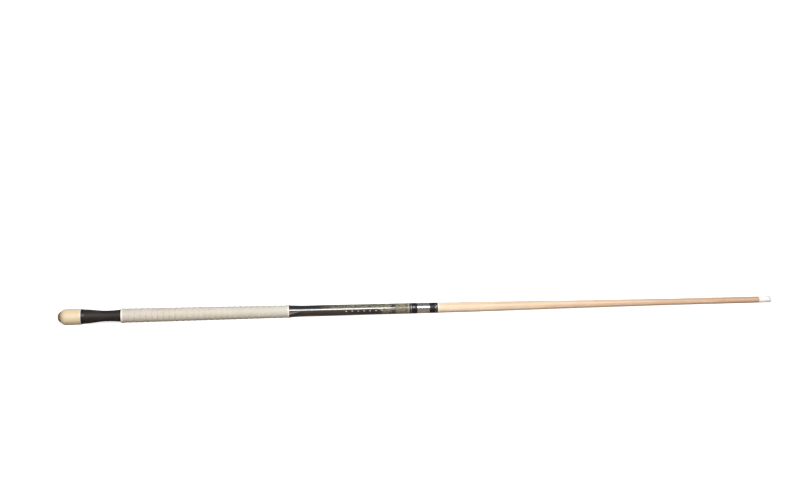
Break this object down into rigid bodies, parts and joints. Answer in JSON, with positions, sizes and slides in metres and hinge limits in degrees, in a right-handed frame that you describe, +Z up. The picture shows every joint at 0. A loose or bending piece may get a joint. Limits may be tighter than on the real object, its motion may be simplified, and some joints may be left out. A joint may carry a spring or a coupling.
{
  "type": "pool cue",
  "caption": "Two-piece pool cue with a tapered maple shaft, leather tip, steel joint, wrapped grip and rubber bumper.",
  "frame": {"origin": "on the cue's axis, in the plane where the shaft meets the butt, which is the middle of its length", "axes": "+X along the cue towards the tip, +Z up, Y across"},
  "size_m": [1.4732, 0.0316, 0.0316],
  "materials": {
    "rubber": "matte",
    "cream": "satin cream resin",
    "trim": "polished ivory coloured resin",
    "black_ring": "polished black phenolic",
    "sleeve": "matte black-brown",
    "wrap": "pressed thread wrap",
    "wrap_collar": "satin pearl resin",
    "core_wood": "bare maple",
    "forearm": "glossy dark stained wood",
    "silver": "polished",
    "stainless": "brushed",
    "steel": "machined",
    "brass": "machined",
    "maple": "satin maple",
    "ferrule": "satin white",
    "fibre": "pressed white fibre",
    "tip_leather": "pressed leather, chalked"
  },
  "bodies": {
    "butt": {"bumper_insert": "brass", "butt_cap": "cream", "cap_ring": "trim", "sleeve_rear_ring": "black_ring", "butt_sleeve": "sleeve", "sleeve_front_ring": "black_ring", "wrap_collar": "wrap_collar", "handle_core": "core_wood", "grip_wrap": "wrap", "wrap_front_ring": "trim", "handle_stud": "steel", "forearm": "forearm", "joint_trim_ring": "trim", "joint_rear_ring": "black_ring", "joint_silver_ring": "silver", "joint_dash_ring": "black_ring", "joint_dashes": "silver", "joint_front_ring": "black_ring", "joint_collar": "stainless", "joint_pin": "steel"},
    "shaft_carrier": {"shaft_trim_ring": "trim"},
    "shaft": {"shaft_insert": "brass", "shaft_collar": "black_ring", "shaft_dash_ring": "black_ring", "shaft_dashes": "silver", "shaft": "maple", "ferrule": "ferrule", "tip_pad": "fibre", "tip": "tip_leather"},
    "bumper": {"bumper": "rubber"},
    "bumper_screw": {"bumper_screw": "steel"},
    "weight_bolt": {"weight_bolt": "steel"}
  },
  "joints": [
    {"name": "shaft_travel", "type": "slide", "parent": "butt", "child": "shaft_carrier", "axis": [1, 0, 0], "range_m": [0, 0.029]},
    {"name": "shaft_turn", "type": "hinge", "parent": "shaft_carrier", "child": "shaft", "pos_m": [0, 0, 0], "axis": [1, 0, 0], "range_deg": [0, 5760]},
    {"name": "bumper_travel", "type": "slide", "parent": "butt", "child": "bumper", "axis": [-1, 0, 0], "range_m": [0, 0.019]},
    {"name": "bumper_turn", "type": "hinge", "parent": "bumper", "child": "bumper_screw", "pos_m": [-0.7366, 0, 0], "axis": [-1, 0, 0], "range_deg": [0, 5400]},
    {"name": "weight_bolt_travel", "type": "slide", "parent": "butt", "child": "weight_bolt", "axis": [-1, 0, 0], "range_m": [0, 0.011]}
  ],
  "couplings": [
    {"joint": "shaft_turn", "follows": "shaft_travel", "rad_per_m": 3463.2},
    {"joint": "bumper_turn", "follows": "bumper_travel", "rad_per_m": 4947.4}
  ]
}
